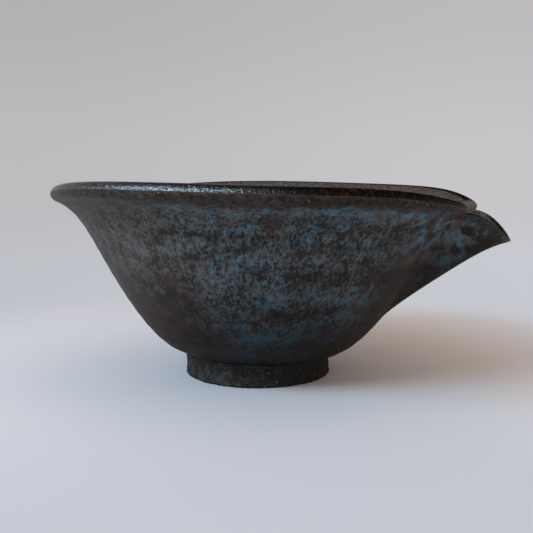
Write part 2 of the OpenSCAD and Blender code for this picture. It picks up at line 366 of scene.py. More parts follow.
def bowl_faces(ids):
    """Faces between rows of point numbers, across both cut ends of the wall, and round the two centres"""
    rows, columns = ids.shape[0], ids.shape[1] - 1
    faces = []
    for row in range(rows - 1):
        for col in range(columns):
            faces.append((ids[row, col], ids[row, col + 1], ids[row + 1, col + 1], ids[row + 1, col]))
    for low in range(WALL_START + LOW_ROWS, LIP_MIDDLE):
        high = low + 1
        around_end = [low, high, 2 * LIP_MIDDLE - high, 2 * LIP_MIDDLE - low]
        for col, turn in ((0, 1), (columns, -1)):
            corners = list(dict.fromkeys(ids[around_end, col]))
            faces.append(tuple(corners[::turn]))
    under_centre = ids.size
    floor_centre = under_centre + 1
    for col in range(columns):
        faces.append((under_centre, ids[0, col + 1], ids[0, col]))
        faces.append((floor_centre, ids[-1, col], ids[-1, col + 1]))
    return faces


def bowl_body():
    """The thrown bowl, cut open for the spout"""
    profile, normal, floor_h = bowl_profile()
    rows = len(profile)
    run = run_along(profile)
    crown = int(np.argmax(profile[:, 1]))
    gap = gap_angles(profile)
    open_row = gap > OPEN_ANGLE
    gap_turn = np.radians(gap)[:, None]
    share = bowl_columns()
    angle = gap_turn + (2 * math.pi - 2 * gap_turn) * share
    from_cut = np.minimum(angle - gap_turn, 2 * math.pi - gap_turn - angle) * profile[:, :1]

    skin = thrown_skin(profile, angle, run, crown) - SKIN_INSET
    p = profile[:, None, :] + skin[..., None] * normal[:, None, :]
    p = p + rounded_cut(profile, gap, from_cut)
    centres = leaned(np.array([[0, 0, FOOT_H], [0, 0, floor_h]]))
    points = np.concatenate([leaned(settle(p, angle)).reshape(-1, 3), centres])

    columns = len(share) - 1
    ids = np.arange(rows * (columns + 1)).reshape(rows, columns + 1)
    ids[~open_row, columns] = ids[~open_row, 0]
    below = np.concatenate([np.repeat(run[crown] - run, columns + 1), [run[-1], -run[-1]]])
    # Painted light: how near each point is to a cut end, where the colour turns pale as if lit
    cut_end = np.where(open_row[:, None], np.exp(-(from_cut / CUT_END_LIGHT_REACH) ** 2), 0)
    cut_end = np.concatenate([cut_end.ravel(), [0, 0]])
    seam = seam_distance(points)
    return add_mesh("bowl", points, bowl_faces(ids), below_lip=below, seam=seam, cut_end=cut_end)


# The spout: u runs from -1 at one shoulder, through 0 at the keel, to 1
SPOUT_STEPS = 120
OUTER_ROWS = 40
EDGE_ROWS = 12
INNER_ROWS = 36
SEAM_STEPS = 160
# Brings the top of t cubed times (1 - t), at three quarters of the way, to 1
ARCH_GAIN = 256 / 27


def wall_place(degrees, s, out):
    return settle(wall_at(s) + out * wall_normal(s), np.radians(degrees))


def root_s(u, lower=0):
    return s_at(lerp(KEEL_H - lower, ROOT_H, np.abs(u) ** ROOT_ROUND))


def root_points(u, out):
    """The line where the spout meets the outside of the wall"""
    return wall_place(ROOT_ANGLE * u, root_s(u), out)


def below_wall(s):
    """Distance of the wall's outside from the lip's crown"""
    run = run_along(wall_at(S_TABLE))
    return run[-1] - np.interp(s, S_TABLE, run) + LIP_R * math.radians(180 - LIP_ANGLE)


NOTCH_SHARE = ((ROOT_H - NOTCH_H) / (FLARE_END[1] - NOTCH_H)) ** (1 / NOTCH_ROUND)


def mouth_points(u, out):
    """The line where the inside of the spout meets the notch"""
    h = lerp(NOTCH_H, FLARE_END[1], (NOTCH_SHARE * np.abs(u)) ** NOTCH_ROUND)
    return wall_place(NOTCH_ANGLE * NOTCH_SHARE * u, s_at(h), out)


SHOULDER = settle(wall_at(ROOT_S) + np.array([SHOULDER_OUT, SHOULDER_RISE]), math.radians(ROOT_ANGLE))


def outer_edge(u):
    """The pouring edge, falling from the shoulders to the tip"""
    fall = np.clip(1 - u * u, 0, None) ** EDGE_FALL
    x = lerp(TIP_X, SHOULDER[0], u * u)
    return np.stack([x, SHOULDER[1] * u, lerp(SHOULDER[2], TIP_H, fall)], -1)


def inner_edge(u):
    edge = outer_edge(u)
    edge[..., 0] = lerp(TIP_X - EDGE_T, SHOULDER[0], u * u)
    edge[..., 1] = (SHOULDER[1] - EDGE_T) * u
    edge[..., 2] += EDGE_LIFT
    return edge


def face_points(root, edge, t):
    """Lines from the wall to the pouring edge, arched up most at three quarters of the way"""
    along = edge - root
    way = unit(along)
    up = -(root + edge) / 2
    up[:, 0] = 0
    up[:, 2] += BOWL_H
    arch = unit(up - np.sum(up * way, -1, keepdims=True) * way)
    arch = arch * KEEL_ARCH * np.linalg.norm(along, axis=-1, keepdims=True)
    t = t[None, :, None]
    return root[:, None] + along[:, None] * t + ARCH_GAIN * t ** 3 * (1 - t) * arch[:, None]


def outer_face(u, t):
    return face_points(root_points(u, -LUTED_DEPTH), outer_edge(u), t)


SEAM_LINE = leaned(root_points(np.linspace(-1, 1, SEAM_STEPS + 1), 0))


def seam_distance(points):
    """Distance of each point from the line where the spout meets the bowl"""
    nearest = np.full(len(points), 1.0)
    for place in SEAM_LINE:
        nearest = np.minimum(nearest, np.linalg.norm(points - place, axis=1))
    return nearest


def spout():
    """The open beak: outside, rolled edge and inside"""
    u = np.linspace(-1, 1, SPOUT_STEPS + 1)
    outer = outer_face(u, np.linspace(0, 1, OUTER_ROWS + 1))
    inner = face_points(mouth_points(u, -LUTED_DEPTH), inner_edge(u), np.linspace(1, 0, INNER_ROWS + 1))
    turn = np.linspace(0, math.pi, EDGE_ROWS + 1)[None, 1:-1, None]
    start = outer[:, -1:]
    end = inner[:, :1]
    way = unit(outer[:, -1:] - outer[:, -2:-1])
    edge = lerp(start, end, (1 - np.cos(turn)) / 2) + way * EDGE_ROUND * np.sin(turn)
    sections = leaned(np.concatenate([outer, edge, inner], 1))
    crest = OUTER_ROWS + EDGE_ROWS // 2
    below = np.stack([run_along(section) for section in sections])
    below = below[:, crest:crest + 1] - below
    keel = np.repeat(1 - np.abs(u), sections.shape[1])
    seam = seam_distance(sections.reshape(-1, 3))
    return loft("spout_beak", sections, below_lip=below, seam=seam, keel=keel)


# The coil: a wide hollow blend, smoothed on to the wall and on to the spout, and run up under the lip
COIL_ROWS = 24
COIL_U = 1.05
BLEND_ANGLE = 8.5
BLEND_DROP = 6 * MM
BLEND_CLIMB = 0.5
BLEND_PULL = 0.64
BLEND_SKIN = -0.05 * MM
BLEND_STEP = 0.02


def spout_luting_coil():
    """The clay smoothed into the corner between spout and bowl"""
    u = np.linspace(-COIL_U, COIL_U, SPOUT_STEPS + 1)

    def on_wall(t):
        degrees = (ROOT_ANGLE + lerp(BLEND_ANGLE, 0, t)) * u
        return wall_place(degrees, lerp(root_s(u, BLEND_DROP), root_s(u), t), BLEND_SKIN)

    def on_spout(t):
        return outer_face(u, np.array([t]))[:, 0]

    low = on_wall(0)
    low_way = (on_wall(BLEND_STEP) - low) / BLEND_STEP
    high = on_spout(BLEND_CLIMB)
    high_way = (high - on_spout(BLEND_CLIMB - BLEND_STEP)) / BLEND_STEP * BLEND_CLIMB
    t = np.linspace(0, 1, COIL_ROWS + 1)[None, :, None]
    ends = [p[:, None] for p in (low, low + BLEND_PULL * low_way, high - BLEND_PULL * high_way, high)]
    buried = root_points(u, -LUTED_DEPTH)
    sections = leaned(np.concatenate([curve(ends, t), buried[:, None]], 1))
    below = np.repeat(below_wall(root_s(u)), COIL_ROWS + 2)
    keel = np.clip(1 - np.abs(u), 0, 1)[:, None] * np.linspace(0, 1, COIL_ROWS + 2)
    seam = seam_distance(sections.reshape(-1, 3))
    return loft("spout_seam", sections, below_lip=below, seam=seam, keel=keel)


# The foot ring: a turned outline with a rough, sandy face
FOOT_COLUMNS = 360
FOOT_TURNS = np.linspace(0, 2 * math.pi, FOOT_COLUMNS, endpoint=False)
FOOT_WALL_ROWS = 8
FOOT_STEP = 0.45 * MM
CORNER_STEPS = 6
FOOT_BASE_R = FOOT_R - FOOT_ROUND / 4
FOOT_INNER_R = FOOT_BASE_R - FOOT_RING_W
FOOT_BURIED = LUTED_DEPTH / 3
FOOT_ROUGH = 0.26 * MM
FOOT_GRAIN = 1.4 * MM
GRAIN_HARSH = 0.8
GRAIN_FINER = 2.1
GRAIN_LAYERS = 3
GRAIN_DEEPEST = 1.4


def spaced(points, step):
    """Points along the same line, no further apart than a step"""
    dense = [points[0]]
    for a, b in zip(points[:-1], points[1:]):
        count = max(1, math.ceil(np.linalg.norm(b - a) / step))
        dense.extend(lerp(a, b, (i + 1) / count) for i in range(count))
    return np.array(dense)


def stood_up(outline, angle):
    """An outline of radii and heights, stood up at an angle in radians round the axis"""
    flat = np.array([math.cos(angle), math.sin(angle), 0])
    return outline[:, :1] * flat + outline[:, 1:] * UP


def underside_h(x, y):
    """Height of the bowl's leaning flat underside"""
    tilt = LEAN_TURN @ UP
    return FOOT_H - (tilt[0] * x + tilt[1] * y) / tilt[2]


def foot_inner_r(h):
    """Radius of the tapered inside of the foot at a height"""
    return FOOT_INNER_R - h * math.tan(math.radians(FOOT_INNER_ANGLE))


def base_corner(centre_r, start):
    """A rounded edge of the foot's base, a quarter turn from a starting direction"""
    centre = np.array([centre_r, FOOT_ROUND])
    turns = np.linspace(start, start + 90, CORNER_STEPS + 1)
    return [centre + FOOT_ROUND * toward(a) for a in turns]


def foot_outline():
    top = FOOT_H + SLIP_T
    outline = base_corner(FOOT_INNER_R + FOOT_ROUND, 180) + base_corner(FOOT_BASE_R - FOOT_ROUND, 270)
    for t in np.linspace(0, 1, FOOT_WALL_ROWS + 1)[1:]:
        waist = FOOT_WAIST * math.sin(math.pi * t)
        outline.append(np.array([lerp(FOOT_BASE_R, FOOT_R, t) - waist, lerp(FOOT_ROUND, FOOT_H, t)]))
    outline.append(np.array([FOOT_R, top]))
    outline.append(np.array([foot_inner_r(top), top]))
    return spaced(np.array(outline + outline[:1]), FOOT_STEP)[:-1]


def sandy_depth(p):
    """Depth of the rough face at a place"""
    grain = noise.fractal(Vector(p / FOOT_GRAIN), GRAIN_HARSH, GRAIN_FINER, GRAIN_LAYERS)
    return FOOT_ROUGH * np.clip(0.5 + grain, 0, GRAIN_DEEPEST)


def foot_ring():
    """The ring foot, trimmed to the bowl's underside"""
    outline = foot_outline()
    following = np.roll(outline, -1, 0) - np.roll(outline, 1, 0)
    normal = unit(np.stack([following[:, 1], -following[:, 0]], -1))
    sections = []
    for angle in FOOT_TURNS:
        section = stood_up(outline, angle)
        depth = np.array([sandy_depth(p) for p in section])
        section = section - stood_up(normal, angle) * depth[:, None]
        buried = underside_h(section[:, 0], section[:, 1]) + FOOT_BURIED
        section[:, 2] = np.clip(section[:, 2], 0, buried)
        sections.append(section)
    return loft("foot", np.array(sections), ring=True)


# The slip: a thin bead, squeezed out unevenly round the top of the foot
SLIP_ROWS = 10
SLIP_BEAD = 0.5 * MM
SLIP_LUMP = 7 * MM
SLIP_SHARE = 0.75
SLIP_UNEVEN = 0.6
SLIP_LEAST = 0.1


def foot_luting_slip():
    """The slip between foot and bowl"""
    inner_r = foot_inner_r(FOOT_H)
    turn = np.linspace(-90, 90, SLIP_ROWS + 1)
    half_bead = SLIP_BEAD / 2 * np.array([toward(d) for d in turn])
    sections = []
    for angle in FOOT_TURNS:
        on_foot = np.array([math.cos(angle), math.sin(angle), 0]) * FOOT_R
        lump = noise.noise(Vector(on_foot / SLIP_LUMP))
        squeezed = float(np.clip(SLIP_SHARE + SLIP_UNEVEN * lump, SLIP_LEAST, 1))
        reach = FOOT_R + SLIP_SQUEEZE * squeezed
        bead = np.array([reach - SLIP_BEAD / 2, FOOT_H - SLIP_T / 2]) + half_bead
        outline = np.concatenate([bead, [[inner_r, FOOT_H], [inner_r, FOOT_H - SLIP_T]]])
        sections.append(stood_up(outline, angle))
    return loft("slip_line", leaned(np.array(sections)), ring=True)


def srgb(code):
    """A colour as written on screen, in the shader's linear light"""
    parts = [int(code[i:i + 2], 16) / 255 for i in (1, 3, 5)]
    linear = [c / 12.92 if c <= 0.04045 else ((c + 0.055) / 1.055) ** 2.4 for c in parts]
    return (*linear, 1.0)


class Graph:
    """Short calls for building the nodes of a material or a world"""

    def __init__(self, owner):
        owner.use_nodes = True
        self.owner = owner
        self.tree = owner.node_tree
        self.coordinates = self.node("ShaderNodeTexCoord")
        self.place = self.vector("DIVIDE", self.coordinates.outputs["Object"], (MM, MM, MM))

    def put(self, socket, value):
        if isinstance(value, bpy.types.NodeSocket):
            self.tree.links.new(value, socket)
        else:
            socket.default_value = value

    def node(self, kind, **settings):
        made = self.tree.nodes.new(kind)
        for key, value in settings.items():
            setattr(made, key, value)
        return made

    def fed(self, made, values):
        """A node with its first inputs set"""
        for socket, value in zip(made.inputs, values):
            self.put(socket, value)
        return made

    def named(self, made, **values):
        """A node with inputs set by name, with a line for each space in a name"""
        for name, value in values.items():
            self.put(made.inputs[name.replace("_", " ")], value)
        return made

    def vector(self, operation, *values):
        return self.fed(self.node("ShaderNodeVectorMath", operation=operation), values).outputs[0]

    def measure(self, operation, *vectors):
        """A number from vectors, such as a length"""
        made = self.fed(self.node("ShaderNodeVectorMath", operation=operation), vectors)
        return made.outputs["Value"]

    def math(self, operation, *values):
        return self.fed(self.node("ShaderNodeMath", operation=operation), values).outputs[0]

    def times(self, first, *others):
        for other in others:
            first = self.math("MULTIPLY", first, other)
        return first

    def plus(self, a, b):
        return self.math("ADD", a, b)

    def minus(self, a, b):
        return self.math("SUBTRACT", a, b)

    def most(self, a, b):
        return self.math("MAXIMUM", a, b)

    def parts(self, vector):
        return self.fed(self.node("ShaderNodeSeparateXYZ"), [vector]).outputs

    def turned(self, angle, centre):
        """The place in millimetres, turned about the direction of the Y axis"""
        made = self.node("ShaderNodeVectorRotate", rotation_type="Y_AXIS")
        return self.named(made, Vector=self.place, Center=centre, Angle=angle).outputs[0]

    def value(self, name):
        return self.node("ShaderNodeAttribute", attribute_name=name).outputs["Fac"]

    def stretched(self, stretch, shift, place):
        """A place in millimetres, scaled on each axis and shifted to another part of the noise"""
        place = self.place if place is None else place
        return self.vector("MULTIPLY_ADD", place, stretch, (shift, shift, shift))

    def noise(self, size, detail=2, rough=0.5, warp=0, stretch=(1, 1, 1), shift=0, place=None):
        """Soft noise from 0 to 1 whose spots are about as wide as the size, in millimetres"""
        made = self.named(self.node("ShaderNodeTexNoise"), Vector=self.stretched(stretch, shift, place),
                          Scale=1 / size, Detail=detail, Roughness=rough, Distortion=warp)
        return made.outputs["Fac"]

    def spots(self, size, fade, above, part=0, stretch=(1, 1, 1), shift=0, place=None):
        """Round spots on those of many scattered points whose random number is above a value"""
        made = self.named(self.node("ShaderNodeTexVoronoi"),
                          Vector=self.stretched(stretch, shift, place), Scale=1 / size)
        chosen = self.math("GREATER_THAN", self.parts(made.outputs["Color"])[part], above)
        return self.times(self.step(made.outputs["Distance"], *fade), chosen)

    def step(self, value, low, high, start=0.0, end=1.0):
        """A smooth rise from start to end while the value goes from low to high"""
        made = self.node("ShaderNodeMapRange", interpolation_type="SMOOTHSTEP")
        return self.fed(made, (value, low, high, start, end)).outputs[0]

    def mix(self, share, a, b):
        """A colour between two colours"""
        made = self.node("ShaderNodeMix", data_type="RGBA")
        self.put(made.inputs[0], share)
        self.put(made.inputs[6], a)
        self.put(made.inputs[7], b)
        return made.outputs[2]

    def blend(self, share, a, b):
        """A number between two numbers"""
        made = self.node("ShaderNodeMix", data_type="FLOAT")
        self.put(made.inputs[0], share)
        self.put(made.inputs[2], a)
        self.put(made.inputs[3], b)
        return made.outputs[0]

    def bump(self, height, depth, normal=None, strength=1.0):
        """A relief of some depth, in metres"""
        made = self.named(self.node("ShaderNodeBump"), Height=height, Distance=depth, Strength=strength)
        if normal is not None:
            self.put(made.inputs["Normal"], normal)
        return made.outputs["Normal"]

    def facing(self, heading, times=1):
        """1 on the side at a heading round the bowl, falling to -1, a number of times round the bowl"""
        x, y, _ = self.parts(self.place)
        turn = self.minus(self.math("ARCTAN2", y, x), math.radians(heading))
        return self.math("COSINE", self.times(turn, times))

    def around(self, heading, radius, height, size):
        """Distance from a place on the wall, as a share of a size"""
        away = self.vector("SUBTRACT", self.place, (*toward(heading) * radius, height))
        return self.measure("LENGTH", self.vector("DIVIDE", away, size))

    def add_up(self, *weighted):
        """Sum of noises about their middle, each times its weight"""
        total = 0.0
        for value, weight in weighted:
            total = self.plus(self.times(self.minus(value, 0.5), weight), total)
        return total

    def surface(self, **inputs):
        """The material, with its shader's inputs set"""
        self.named(self.tree.nodes["Principled BSDF"], **inputs)
        return self.owner


def material_graph(name, kind=Graph, **settings):
    return kind(bpy.data.materials.new(name), **settings)


# Colours of the glaze and the clay
IRON = srgb("#1a1513")
IRON_BROWN = srgb("#2d2521")
VEIL_GREY = srgb("#58544f")
VEIL_BLUE = srgb("#4d7080")
DEEP_BLUE = srgb("#386a81")
RUST = srgb("#40291f")
BAND = srgb("#130f0e")
BAND_PALE = srgb("#443b37")
LIP_BLACK = srgb("#0a0807")
LIP_BROWN = srgb("#3f3027")
# Painted light: the pale colour of the cut ends, as if lit
CUT_END_LIGHT = srgb("#5a524c")
SEAM_BROWN = srgb("#5a4138")
SAND = srgb("#b5aaa0")
CLAY = srgb("#14120f")
CLAY_PALE = srgb("#3b3734")
SLIP = srgb("#37322e")

# Where the glaze changes on the bowl: distances from the lip's crown down the outside, negative inside
LIP_EDGE_W = 0.5 * MM
LIP_EDGE = 4.1 * MM
LIP_INSIDE = -2 * MM, -1 * MM
BAND_INSIDE = -1.5 * MM, -1 * MM
BAND_END = 8.6 * MM
BAND_FADE = 2.2 * MM
HAZE_END = 17 * MM
RUST_END = 24 * MM
# The same on the spout, from the crest of its edge
SPOUT_EDGE = 1.8 * MM
SPOUT_BAND_END = 4.2 * MM
# A dark run of glaze below the band: heading round the bowl, distance from the axis and height, in mm
DRIP_HEADING = -66.8
DRIP_R = 64
DRIP_H = 57
DRIP_SIZE = 3.8, 3.8, 6.5
# Rusty stains on the wall: heading, distance from the axis, height and size in mm, and share of rust
STAINS = (-76, 64, 57.5, 2.2, 0.35), (-16, 60, 44, 3.6, 0.6)
# Headings of the bowl's bluest side, as blue on the back, of its brownest side, which is also darkened low
# down as painted shade, and of the foot's palest
BLUE_HEADING = -60
BROWN_HEADING = -140
PALE_HEADING = -118
# Runs of glaze turn from upright on the bowl to a slope on the spout, about a place in mm in its root
SPOUT_RUN_TILT = 40
SPOUT_RUN_PLACE = 64, 0, 48

# Noises in the glaze and the clay, with sizes in millimetres
SPECK = dict(size=1.1, detail=4, rough=0.62, stretch=(1, 1, 0.5))
GRAIN = dict(size=0.45, rough=0.6, stretch=(1, 1, 0.8), shift=9)
PATCH = dict(size=4.2, detail=3, rough=0.6, warp=0.3, stretch=(1, 1, 0.7), shift=31)
WIDE = dict(size=24, stretch=(1, 1, 1.2), shift=77)
RINGS = dict(size=4.5, stretch=(0.1, 0.1, 1), shift=51)
TINT = dict(size=2.7, detail=3, rough=0.55, warp=0.4, stretch=(1, 1, 0.7), shift=113)
STREAK = dict(size=3.6, detail=3, rough=0.55, warp=0.3, stretch=(1, 1, 0.4), shift=171)
CROWD = dict(size=3.4, stretch=(1, 1, 0.8), shift=417)
RUST_PATCH = dict(size=3, detail=3, rough=0.6, stretch=(1, 1, 0.8), shift=203)
WARM_PATCH = dict(size=9, shift=333)
BRUSHED = dict(size=1.1, detail=4, rough=0.7, stretch=(0.6, 0.6, 1.4), shift=7)
SPARKLE = dict(size=0.5, rough=0.6, shift=61)
PITS = dict(size=0.5, rough=0.6, shift=5)
CLAY_GRAIN = dict(size=0.6, detail=4, rough=0.7)
CLAY_PATCH = dict(size=2.6, detail=3, rough=0.6, shift=19)
# Spots: the dark pinholes of the veil, and grains of sand in the glaze and in the clay
PINHOLES = dict(size=0.85, fade=(0.62, 0.12), above=0.35, part=1, stretch=(1, 1, 0.7), shift=400)
GLAZE_SAND = dict(size=1.2, fade=(0.2, 0.1), above=0.9)
CLAY_SAND = dict(size=1.2, fade=(0.24, 0.12), above=0.93)

# Ranges over which a layer changes: where it starts and ends, and the shares there if not 0 and 1.
# Names that end in X or H: millimetres along the X axis or above the table
RUN_TURN_X = 44, 74, 0, math.radians(SPOUT_RUN_TILT)
BEAK_X = 50, 62
MATT_X = 15, 45
BROWN_SPREAD = 0.4, 0.9
# Heights over which painted shade darkens the lower part of the brown side
LOW_SHADE_H = 46, 20
BARE_FOOT_H = 16, 9
INSIDE_RANGE = -4 * MM, -10 * MM
# The veil: how much of each noise and layer goes into its cover, pairs on bowl and spout
COVER_SPECK = 0.85, 0.4
COVER_GRAIN = 0.36, 0.15
COVER_PATCH = 0.7, 1.0
COVER_STREAK = 0.0, 0.7
COVER_PINHOLES = 0.28, 0.0
COVER_RINGS = 0.55
COVER_BROWN_RINGS = 0.25
COVER_WIDE = 0.25
COVER_HAZE = 0.12
COVER_RIM_INSIDE = 0.3
# How much less veil there is where the veil thins, and where the brown side is darkened low down as
# painted shade
COVER_BARE_AND_SHADED = 0.2
VEIL_RANGE = -0.23, 0.22
HAZE_RISE = 4 * MM
HAZE_TOP = 3 * MM
RIM_INSIDE_START = -1 * MM, -2 * MM
RIM_INSIDE_END = -14 * MM, -8 * MM
CROWD_RANGE = 0.4, 0.62, 0.25, 1
SPOUT_TIP = 11 * MM, 20 * MM, 0.5, 1.9
# The veil's blue
TINT_RINGS = 0.35
BLUE_SPREAD = 0.0, 0.85, 0.2, 0.92
BEAK_OUTSIDE = -3 * MM, 0
INSIDE_BLUE = 0.8
BLUE_START = 0.45
BLUE_FULL = 0.67, 0.58
BLUE_LEAST = 0.22
DEEP_BLUE_H = 46, 22
# Browns in the body of the glaze, and painted shade low down, along the keel and under the spout
BROWN_TINT = 0.6, 0.4, 0, 0.6
RUST_RANGE = 0.6, 0.7
RUST_SHARE = 0.7
BROWN_SEAM = 7 * MM, 1 * MM
BROWN_PATCH = 0.42, 0.62
BROWN_SHARE = 0.6
SHADE_H = 48, 10, 0, 0.8
SHADE_KEEL = 0.4, 0.85, 0, 0.8
SHADE_FRONT = 0.8, 0.97
SHADE_FRONT_H = 55, 38, 0, 0.8
INSIDE_SHADE = 0.45
WARM_RANGE = 0.42, 0.64, 0.0, 0.17
WARM_H = 52, 40
STAIN_RAGGED = 2.4
STAIN_RANGE = 1.1, 0.2
# The band under the lip and the run of glaze below it
DRIP_RAGGED = 1.2
DRIP_RANGE = 1.25, 0.55, 0, 0.9
DRIP_CORE_RANGE = 0.6, 0.1, 0, 0.5
BAND_WAVE = 6 * MM
BAND_RAGGED = 2 * MM
BAND_BRUSHED = 0.3, 0.7
MATT_PALE = 0.65
# The glossy lip
LIP_RAGGED = 1.2 * MM
LIP_FADE = 0.3 * MM
EDGE_SPECK = 0.3, 0.6
LIP_SPECK = 0.44, 0.68, 0.02, 0.42
SAND_W = 3 * MM
LIP_SAND = 0.6
BAND_SAND = 0.3
# Roughness, of iron and veil and of the glassy and the matt side of the lip
BODY_ROUGH = 0.5, 0.65
BAND_ROUGH = 0.42
LIP_ROUGH = 0.14, 0.34
# Gloss, with pairs for the lip's glassy and matt side, and relief
SPARKLE_RANGE = 0.38, 0.6, 0.3, 1
MATT_SPARKLE = 0.12
BODY_GLOSS_H = 10, 40, 0.05, 0.12
GRAZE_START = 0.4 * MM, 2 * MM
GRAZE_END = 1.6 * MM, 4.5 * MM
GRAZE_LEAST = 0.2, 0.0
GRAIN_DEPTH = 0.06 * MM
SPECK_DEPTH = 0.08 * MM
PIT_DEPTH = 0.28 * MM
# Bending of light in the body and in the glassy lip
GLASS_IOR = 1.5, 1.78


class Glaze(Graph):
    """Dark iron glaze under a broken slate-blue veil, bare of veil along the lip"""

    def __init__(self, owner, band_end=BAND_END, edge_end=LIP_EDGE, on_bowl=1.0):
        super().__init__(owner)
        self.band_end = band_end
        self.edge_end = edge_end
        self.on_bowl = on_bowl
        self.x, _, self.z = self.parts(self.place)
        self.below = self.value("below_lip")
        self.deep = self.math("ABSOLUTE", self.below)
        self.seam = self.value("seam")
        self.runs = self.turned(self.step(self.x, *RUN_TURN_X), SPOUT_RUN_PLACE)
        self.speck = self.noise(**SPECK, place=self.runs)
        self.grain = self.noise(**GRAIN)
        self.patch = self.noise(**PATCH, place=self.runs)
        self.rings = self.noise(**RINGS)
        self.streak = self.noise(**STREAK, place=self.runs)
        self.beak = self.step(self.x, *BEAK_X)
        self.matt = self.times(self.step(self.x, *MATT_X), on_bowl)
        self.inside = self.step(self.below, *INSIDE_RANGE)
        self.brown_side = self.step(self.facing(BROWN_HEADING), *BROWN_SPREAD)

    def on_beak(self, values):
        """A number that changes from the bowl to the spout"""
        return self.blend(self.beak, *values)

    def veil_share(self):
        """How much of the iron glaze the veil covers"""
        rings = self.blend(self.brown_side, COVER_RINGS, COVER_BROWN_RINGS)
        cover = self.add_up(
            (self.speck, self.on_beak(COVER_SPECK)), (self.grain, self.on_beak(COVER_GRAIN)),
            (self.patch, self.on_beak(COVER_PATCH)), (self.rings, rings),
            (self.noise(**WIDE), COVER_WIDE), (self.streak, self.on_beak(COVER_STREAK)))
        haze = self.times(self.step(self.deep, self.band_end, self.band_end + HAZE_RISE),
                          self.step(self.deep, HAZE_END, self.band_end + HAZE_TOP))
        cover = self.plus(cover, self.times(haze, COVER_HAZE * self.on_bowl))
        rim_inside = self.times(self.step(self.below, *RIM_INSIDE_START),
                                self.step(self.below, *RIM_INSIDE_END))
        cover = self.plus(cover, self.times(rim_inside, COVER_RIM_INSIDE * self.on_bowl))
        crowd = self.step(self.noise(**CROWD, place=self.runs), *CROWD_RANGE)
        pinholes = self.times(self.spots(**PINHOLES, place=self.runs), crowd)
        cover = self.minus(cover, self.times(pinholes, self.on_beak(COVER_PINHOLES)))
        # Less veil near the foot and at the spout's tip, and painted shade low on the brown side
        bare = self.times(self.brown_side, self.step(self.z, *LOW_SHADE_H))
        bare = self.most(bare, self.step(self.z, *BARE_FOOT_H))
        tip = self.times(self.step(self.seam, *SPOUT_TIP), 1 - self.on_bowl)
        cover = self.minus(cover, self.times(self.most(bare, tip), COVER_BARE_AND_SHADED))
        return self.step(cover, *VEIL_RANGE)

    def veiled_iron(self, veil_share):
        """Brown-black iron with the grey and blue veil over it"""
        tint = self.noise(**TINT, place=self.runs)
        tint = self.blend(self.beak, self.plus(tint, self.add_up((self.rings, TINT_RINGS))), self.streak)
        side = self.step(self.facing(BLUE_HEADING, 2), *BLUE_SPREAD)
        beak_side = self.times(self.beak, self.step(self.below, *BEAK_OUTSIDE))
        side = self.most(side, self.most(beak_side, self.times(self.inside, INSIDE_BLUE)))
        blue = self.times(side, self.step(tint, BLUE_START, self.on_beak(BLUE_FULL), BLUE_LEAST, 1))
        iron = self.mix(self.most(self.brown_side, self.step(tint, *BROWN_TINT)), IRON, IRON_BROWN)
        veil = self.mix(blue, VEIL_GREY, self.mix(self.step(self.z, *DEEP_BLUE_H), VEIL_BLUE, DEEP_BLUE))
        return self.mix(veil_share, iron, veil)

    def painted_shade_share(self):
        """Painted shade: darker glaze low on the bowl, along the spout's keel and on the wall under the
        spout
        """
        shade = self.most(self.step(self.z, *SHADE_H), self.step(self.value("keel"), *SHADE_KEEL))
        under = self.times(self.step(self.facing(0), *SHADE_FRONT), self.step(self.z, *SHADE_FRONT_H))
        return self.times(self.most(shade, under), self.blend(self.inside, 1.0, INSIDE_SHADE))

    def body_colour(self, veil_share):
        """The veiled iron with rust, browns, painted shade and stains"""
        body = self.veiled_iron(veil_share)
        rust = self.times(self.step(self.noise(**RUST_PATCH), *RUST_RANGE),
                          self.step(self.deep, RUST_END, self.band_end))
        body = self.mix(self.times(rust, RUST_SHARE), body, RUST)
        brown = self.times(self.step(self.seam, *BROWN_SEAM), self.step(self.patch, *BROWN_PATCH))
        body = self.mix(self.times(brown, BROWN_SHARE), body, SEAM_BROWN)
        # Painted shade: the glaze darkens towards IRON low on the bowl, along the keel and under the spout
        body = self.mix(self.painted_shade_share(), body, IRON)
        warm = self.step(self.noise(**WARM_PATCH), *WARM_RANGE)
        warm = self.times(self.brown_side, warm, self.step(self.z, *WARM_H))
        body = self.mix(warm, body, SEAM_BROWN)
        for heading, radius, height, size, share in STAINS:
            stain = self.around(heading, radius, height, (size, size, size))
            stain = self.plus(stain, self.add_up((self.speck, STAIN_RAGGED)))
            body = self.mix(self.step(stain, *STAIN_RANGE, 0, share), body, SEAM_BROWN)
        return body

    def banded(self, body):
        """The body under the dark band, with the run of glaze below the band, and the band's share"""
        drip = self.around(DRIP_HEADING, DRIP_R, DRIP_H, DRIP_SIZE)
        drip = self.plus(drip, self.add_up((self.patch, DRIP_RAGGED), (self.speck, DRIP_RAGGED)))
        wave = self.plus(self.deep, self.add_up((self.patch, BAND_WAVE), (self.speck, BAND_RAGGED)))
        band = self.step(wave, self.band_end + BAND_FADE, self.band_end - BAND_FADE)
        band = self.most(self.step(drip, *DRIP_RANGE), band)
        band = self.times(band, self.step(self.below, *BAND_INSIDE))
        pale = self.step(self.noise(**BRUSHED), *BAND_BRUSHED)
        pale = self.times(pale, self.blend(self.matt, 1.0, MATT_PALE))
        band_colour = self.mix(self.step(drip, *DRIP_CORE_RANGE), self.mix(pale, BAND, BAND_PALE), RUST)
        return self.mix(band, body, band_colour), band

